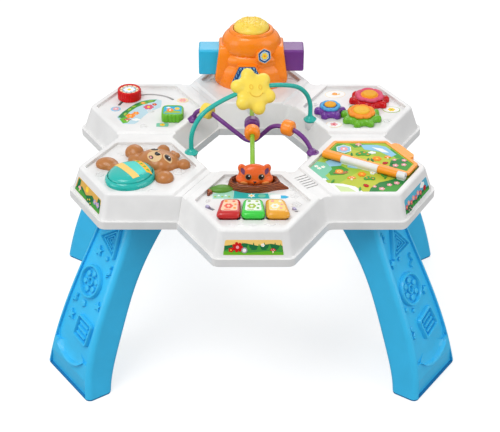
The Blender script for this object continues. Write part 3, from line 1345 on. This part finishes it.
def flower_gears():
    spot = panel_spot(RIGHT_BACK, PANEL_Z)
    middle = (8, -33)
    reach_red, reach_purple = (8 + 8) * PETAL, (8 + 6) * PETAL
    red = (middle[0] + polar(reach_red, RED_AT)[0], middle[1] + polar(reach_red, RED_AT)[1])
    x, y = polar(reach_purple, PURPLE_AT)
    purple = (middle[0] + x, middle[1] + y)
    purple_first = PURPLE_AT + 180 + ((PURPLE_AT - RED_AT) % 45) * 8 / 6 + 30
    sets = (
        ("green", middle, 8, RED_AT, 21.2, 8, "disc_orange", "rim_orange", "heart_yellow"),
        ("red", red, 8, RED_AT + 180 + 22.5, 22.4, 6, "disc_pink", "pink", "heart_amber"),
        ("purple", purple, 6, purple_first, 15.4, 6, "disc_blue", "gear_sky", "heart_amber"),
    )
    for colour, place, count, first, disc, scallops, slot, rim, heart in sets:
        at = moved(spot, *place)
        skin = FINISH["gear_" + colour]
        outline = gear_outline(count, first)
        rows = []
        profile = (
            (0.6, 0.4), (0, 1.2), (0, 3), (0.05, 4.8), (0.5, 6.6), (1.2, 8.1), (2.2, 9.3), (3.3, 10.1),
            (4.2, 10.5),
        )
        for depth, w in profile:
            rows.append([at.at(u, v, w) for u, v in inset(outline, depth)])
        rows.append([at.at(u * 0.5, v * 0.5, 10.5) for u, v in inset(outline, 4.2)])
        shape = Shape()
        shape.solid(rows, skin)
        body = colour + "_flower"
        wheel = shape.make(colour + "_petals", body, angle=60)
        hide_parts("gear_" + colour)
        rosette = Shape()
        edge = petals(0, 0, disc + 1, scallops, 0.13, first, 16)
        rows = []
        for k, w in ((0.9, 9.8), (0.97, 11.2), (1, 12.6), (1, 13.6), (0.98, 14.6), (0.93, 15.4), (0.86, 15.8),
                     (0.77, 15.4), (0.66, 14.2), (0.62, 13.6)):
            rows.append([at.at(u * k, v * k, w) for u, v in edge])
        skin = ink(rim)
        rosette.solid(rows, skin)
        plate = rosette.make(colour + "_rosette", body, angle=50)
        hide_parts("gear_" + colour + "_disc")
        top = Shape()
        size = {"green": 13.2, "red": 12.2, "purple": 9.3}[colour]
        under = {"green": "orange_print", "red": "rim_orange", "purple": "navy"}[colour]
        frill = petals(0, 0, size * 1.2, scallops * 2, 0.1, 0, 5)
        pad(top, frill, moved(at, 0, 0, 13.4).at, 1.7, ink(under))
        pad(top, ring_points(0, 0, size, count=40), moved(at, 0, 0, 13.6).at, 4.2, ink(heart))
        for k in range(12):
            ray = [(size * 0.80, -0.8), (size * 0.96, 0), (size * 0.80, 0.8), (size * 0.6, 0)]
            corners = []
            for u, v in turned(ray, k * 30 + 15):
                corners.append(at.at(u, v, 17.62 - 1.925 * (hypot(u, v) / size - 0.6)))
            top.face(corners, ink("orange_print"))
        curve = [(size * 0.45 * cos(radians(t)), size * 0.45 * sin(radians(t))) for t in range(200, 341, 20)]
        lie = moved(at, 0, 0, 17.6).at
        rib(top, curve, 1.0, 0.5, lie, ink(heart))
        for side in (-1, 1):
            pad(top, ring_points(side * size * 0.3, size * 0.22, 0.9, 1.3, 12), lie, 0.6, ink(heart))
        ring = ring_points(0, 0, size * 0.78, count=36)
        rib(top, ring, 0.9, 0.5, moved(at, 0, 0, 17.2).at, ink(heart), True)
        top.make(colour + "_heart", body)


# ---------------------------------------------------------------- page
def page_art():
    spot = panel_spot(RIGHT_FRONT, box_mm("page_board")[1].z)
    art = Print(spot)
    art.put(hexagon(80, 0), "lime")
    art.put([(-30, -69), (6, -69), (30, -44), (44, -10), (20, 8), (-6, -6), (-24, -26), (-40, -44)], "moss")
    art.put([(-52, 28), (-36, 12), (-22, -4), (-30, -18), (-50, -20), (-58, 6)], "grass")
    art.put([(-80, 0), (-68, 21), (-50, 15), (-47, -2), (-56, -18), (-66, -24)], "mint")
    art.put([(-56, 20), (-42, 30), (-28, 22), (-34, 8), (-50, 6)], "sky")
    art.put([(-22, 14), (-4, 16), (2, 6), (-10, 0), (-24, 4)], "sky")
    art.put([(-40, -69), (-4, -69), (-16, -52), (-34, -44), (-55, -42)], "paper")
    art.put([(-38, -66), (-16, -66), (-26, -54), (-46, -48)], "lime_pale")
    art.put([(2, -69), (40, -69), (62, -32), (50, -26), (36, -34), (20, -40), (6, -56)], "deep_leaf")
    art.put([(-80, 0), (-62, -31), (-52, -34), (-60, -16), (-66, 0), (-74, 10)], "mint")
    art.put([(12, -69), (40, -69), (54, -44), (34, -50), (22, -58)], "grass")
    for x, y, size in ((22, -58, 4.6), (34, -47, 4), (45, -42, 4.4), (12, -52, 3)):
        art.flower(x, y, size, "rose", "paper")
    for x, y in ((-66, 0), (-70, 6), (-60, 4)):
        art.flower(x, y, 3.2, "paper")
    art.mushroom(-20, -34, 8, "orange")
    art.snail(-36, -14, 8, "orange", "tan")
    art.bush(6, -30, 6, "grass", "orange")
    art.ladybird(0, -50, 4, 140)
    art.flower(-4, -18, 6, "orange", "yellow", 6)
    art.flower(12, -14, 4, "paper")
    for x, y, turn in ((-48, -38, 60), (26, -20, 110), (30, -26, 70), (-10, -60, 80)):
        art.put(leaf_points(x, y, 11, 3.4, turn), "grass")
    art.put(petals(-60, -34, 3.4, 6, 0.4), "paper")
    art.show("board_print")

    top = box_mm("page_card")[1].z
    card = panel_spot(RIGHT_FRONT, top)
    art = Print(card)

    c, s = polar(1, -30)

    def tm(points):
        """From along the hinge line and away from it to the module's own directions."""
        return [(t * c - m * s, t * s + m * c) for t, m in points]

    radius, near = 73.5, 8
    reach = radius * cos(radians(30))
    corners = [(-reach, near), (reach, near), (reach, radius / 2), (0, radius), (-reach, radius / 2)]
    art.put(tm(corners), "lime")
    art.put(tm([(-40, 9), (36, 9), (40, 20), (22, 34), (-6, 30), (-30, 32), (-44, 22)]), "moss")
    art.put(tm([(-62, 9), (-38, 9), (-34, 22), (-50, 40), (-62, 36)]), "grass")
    art.put(tm([(-46, 44), (-28, 54), (-10, 62), (-22, 48), (-34, 38)]), "grass")
    art.put(tm([(-56, 9), (-46, 9), (-44, 15), (-54, 18)]), "deep_leaf")
    art.put(tm([(14, 64), (34, 52), (46, 44), (34, 40), (20, 50)]), "grass")
    art.put(tm([(36, 9), (62, 9), (62, 36), (44, 46), (30, 30)]), "deep_leaf")
    art.put(tm([(48, 9), (62, 9), (62, 36), (54, 38), (44, 22)]), "grass")
    art.put(tm([(-30, 50), (-8, 62), (6, 64), (30, 50), (26, 40), (4, 46), (-18, 40)]), "sky")
    art.put(tm([(-12, 52), (4, 56), (18, 50), (8, 46)]), "paper")
    x, y = tm([(-46, 26)])[0]
    art.put(hexagon(12.5, 30, x, y), "paper")
    art.put(hexagon(11, 30, x, y), "sky")
    art.flower(x, y, 6.5, "rose", "paper", 6)
    for t, m, size in ((42, 20, 4.6), (52, 28, 4.2), (47, 40, 3.8), (34, 34, 3)):
        art.flower(*tm([(t, m)])[0], size, "rose", "paper")
    art.bush(*tm([(-14, 26)])[0], 8, "grass", "orange")
    art.flower(*tm([(10, 24)])[0], 7, "orange", "yellow", 6)
    art.ladybird(*tm([(26, 18)])[0], 4, 20)
    art.cloud(*tm([(-4, 36)])[0], 4)
    art.mushroom(*tm([(24, 32)])[0], 6, "orange")
    art.mushroom(*tm([(-30, 44)])[0], 6, "rose")
    for t, m, turn in ((0, 14, 70), (6, 16, 110), (-28, 16, 90), (34, 24, 80)):
        art.put(leaf_points(*tm([(t, m)])[0], 10, 3.2, turn), "deep_leaf")
    art.show("card_print", "page")


# ---------------------------------------------------------------- hive
def hive():
    base = moved(panel_spot(BACK, PANEL_Z), 0, 5)
    amber = FINISH["hive_amber"]
    shape = Shape()
    tiers = (
        (56.5, 38.6, 0), (59, 40, 4), (60.6, 41.2, 10), (60.6, 41.6, 17), (59.4, 41.2, 25),
        (57.2, 40.2, 32), (54.4, 38.9, 36), (52.2, 37.4, 38.6), (51, 36.2, 40), (51.6, 36.8, 41.6),
        (52, 38, 45.4), (51.4, 38.2, 50), (49.6, 37.2, 54), (47.4, 35.4, 56.8), (46.4, 34.0, 58.2),
        (47.4, 35.4, 59.8), (48.8, 37.6, 64.5), (48.8, 38.4, 71), (47.2, 37.8, 79), (44.4, 36.8, 84.4),
        (40.8, 35, 88.2), (37.4, 33.2, 90.4), (36.4, 32.4, 91.2), (36.4, 32.6, 92.4), (35.6, 32.4, 94.6),
        (33.6, 31.6, 96.2), (31.6, 31, 96.8), (29.9, 29.9, 96.2), (29.6, 29.6, 91),
    )
    count = 144
    rows = []
    for rx, ry, w in tiers:
        rows.append([base.at(u, v, w) for u, v in ring_points(0, 0, rx, ry, count)])
    mark = shape.mark(amber)
    for row in rows:
        shape.points += row
    for r in range(len(rows) - 1):
        for k in range(count):
            a, b = r * count + k, r * count + (k + 1) % count
            corners = [a, b, b + count, a + count]
            seen = [shape.points[i] - base.origin for i in corners]
            if all(abs(p.y) < 21 and 18 < p.z < 66.5 and abs(p.x) > 36 for p in seen):
                continue
            shape.faces.append(corners)
            shape.marks.append(mark)
    shell = shape.make("hive_shell", "table", angle=70)
    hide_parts("hive_body")

    for side in (-1, 1):
        low = 18.6 if side < 0 else 25.2
        cheek = Shape()
        outer = [(-15, 0), (15, 0), (27, 17), (25, 60), (20, 71.5), (-20, 71.5), (-25, 60), (-27, 17)]
        outer = rounded(outer, 9, 4)
        hole = [(-19, low), (19, low), (19, 64.8), (-19, 64.8)]
        middle = (low + 64.8) / 2
        ring = []
        for px, py in outer:
            angle = atan2(py - middle, px)
            t = min(19 / max(abs(cos(angle)), 1e-6), (64.8 - middle) / max(abs(sin(angle)), 1e-6))
            ring.append((t * cos(angle), middle + t * sin(angle)))
        for corner in hole:
            gaps = [hypot(px - corner[0], py - corner[1]) for px, py in ring]
            ring[gaps.index(min(gaps))] = corner

        def spot_at(u, v, out):
            foot = 8 * max(0, 1 - v / 18) ** 2
            return base.at(side * (61.5 - 9.5 * v / 72 - foot - out), u, v)

        def shrunk(points, share):
            return [(x * share, 34 + (y - 34) * share) for x, y in points]

        layers = []
        for points, out in (
            (shrunk(outer, 0.96), 27), (outer, 14), (outer, 3), (shrunk(outer, 0.99), 1.2),
            (shrunk(outer, 0.965), 0.2), (shrunk(outer, 0.93), 0), (ring, 0), (ring, 27),
        ):
            layers.append([spot_at(x, y, out) for x, y in points])
        layers.append(layers[0])
        cheek.grid(layers, amber, closed=True)
        piece = cheek.make("hive_cheek_%d" % (1 if side < 0 else 2), "table", angle=50)

    cap = Shape()
    profile = (
        (28.7, 95.4), (28.9, 95.8), (29, 96.5), (28.8, 98.6), (27.9, 100.8), (26.0, 103), (23, 105.2),
        (19, 107), (14, 108.2), (8, 108.9), (2, 109.1),
    )
    cap.lathe(profile, base.at, FINISH["cap_yellow"], 72)
    top = cap.make("cap_dome", "cap_button", angle=70)
    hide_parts("hive_cap")
    drape = Drape(moved(base, 0, 0, 140), top)
    comb = Shape()
    combs = [(0, 0)] + [polar(10.8, 30 + 60 * k) for k in range(6)] + [polar(20.4, 60 * k) for k in range(6)]
    for x, y in combs:
        rib(comb, rounded(hexagon(5.6, 0, x, y), 1.6, 3), 1.7, 0.95, drape.at, FINISH["cap_yellow"], True)
        pad(comb, ring_points(x, y, 3.0, count=16), drape.at, 0.8, FINISH["cap_yellow"])
    comb.make("cap_comb", "cap_button")

    front = Spot(base.at(0, -42.2, 0), (1, 0, 0), (0, -1, 0))
    art = Print(front)
    w0, w1 = 16, 46
    frame_line = [(-33, w0), (21, w0), (6, w1), (-20, w1)]
    pad(art, rounded([(-36, w0 - 1.5), (24, w0 - 1.5), (8, w1 + 2), (-22, w1 + 2)], 3, 3),
        front.at, 0.5, amber, dome=False, sink=6)
    art.base = 0.5
    art.put(frame_line, "navy")
    for a, b in (((-30, 18), (-18.5, 43)), ((-17, 43.6), (4, 43.6)), ((5, 43), (17, 18))):
        for k in range(9):
            t = k / 8
            for shift in (-1.3, 1.3):
                px = a[0] + (b[0] - a[0]) * t + shift * (1.3 if k % 2 else 0.2)
                py = a[1] + (b[1] - a[1]) * t + shift * 0.6
                art.disc("sky", px, py, 0.7, count=7)
    art.put([(-25, w0 + 0.5), (12, w0 + 0.5), (1, w1 - 6), (-15, w1 - 6)], "sky")
    art.put([(-24.5, w0 + 1), (11.5, w0 + 1), (8, w0 + 9), (-6, w0 + 12), (-20, w0 + 8)], "grass")
    art.flower(-7, w0 + 15, 5, "yellow", "orange", 6)
    art.show("window_print")

    out = Vector((0.36, -0.90, 0.24)).normalized()
    seat = Spot(base.at(20.6, -37.4, 63.4), Vector((0.93, 0.37, 0)), out)
    badge = Shape()
    pad(badge, rounded(hexagon(14.2, 90), 2.5), seat.at, 1.6, amber, dome=False, sink=12)
    badge.make("badge_seat", "table")
    art = Print(seat, 1.6)
    for radius, colour in ((12.6, "cream"), (12.0, "navy"), (8.2, "paper"), (7.4, "sky")):
        art.put(rounded(hexagon(radius, 90), radius * 0.22), colour)
    for k in range(20):
        px, py = polar(9.9, k * 18)
        art.disc("sky", px, py, 0.55, count=7)
    art.flower(0, 0, 5.6, "yellow", "orange", 6)
    art.show("badge_print")


# ---------------------------------------------------------------- star
def star():
    low, high = box_mm("star")
    middle = (low + high) / 2
    tilt = radians(35)
    along = Vector(joint["star_ride"]["axis"]).cross((0, 0, 1)).normalized()
    along = along if along.x > 0 else -along
    out = Vector((0, -cos(tilt), sin(tilt)))
    spot = moved(Spot(middle, along, out - along * out.dot(along)), 0, -4.5, 0, -15)
    lumps = [((0, 0, 0), (28.5, 28.5, 10.8), (0, 0, 0))]
    for k in range(6):
        x, y = polar(24.2, -15 + 60 * k)
        lumps.append(((x, y, 0), (13, 11.4, 9.6), (0, 0, -15 + 60 * k)))
    piece = blob("star_pillow", lumps, spot, "star_bead", FINISH["star_yellow"], 1.4, 8)
    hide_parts("star")
    drape = Drape(moved(spot, 0, 0, 40), piece)
    shape = Shape()
    yellow = FINISH["star_yellow"]
    line = ink("star_line")
    for side in (-1, 1):
        rib(shape, ring_points(side * 7.5, 4.5, 2.6, 3.4, 16), 1.5, 0.9, drape.at, line, True)
    curve = [(11 * cos(radians(t)), -1 + 9.6 * sin(radians(t))) for t in range(200, 341, 14)]
    rib(shape, curve, 1.9, 1.0, drape.at, line)
    for side in (-1, 1):
        pad(shape, ring_points(side * 12.6, -3.0, 2.4, count=14), drape.at, 1.0, yellow)
    shape.make("star_smile", "star_bead")


for relief_name, azimuth, leg, left, mirror in (
    ("relief_front_left", 215, "leg_front_left", True, False),
    ("relief_front_right", 325, "leg_front_right", False, False),
    ("relief_back_left", 145, "leg_back_left", True, True),
    ("relief_back_right", 35, "leg_back_right", False, True),
):
    leg_reliefs(relief_name, azimuth, leg, left, mirror)
deck_art()
deck_relief()
keys()
stump()
critter()
bear()
wire_feet()
sliders()
flower_gears()
page_art()
hive()
star()
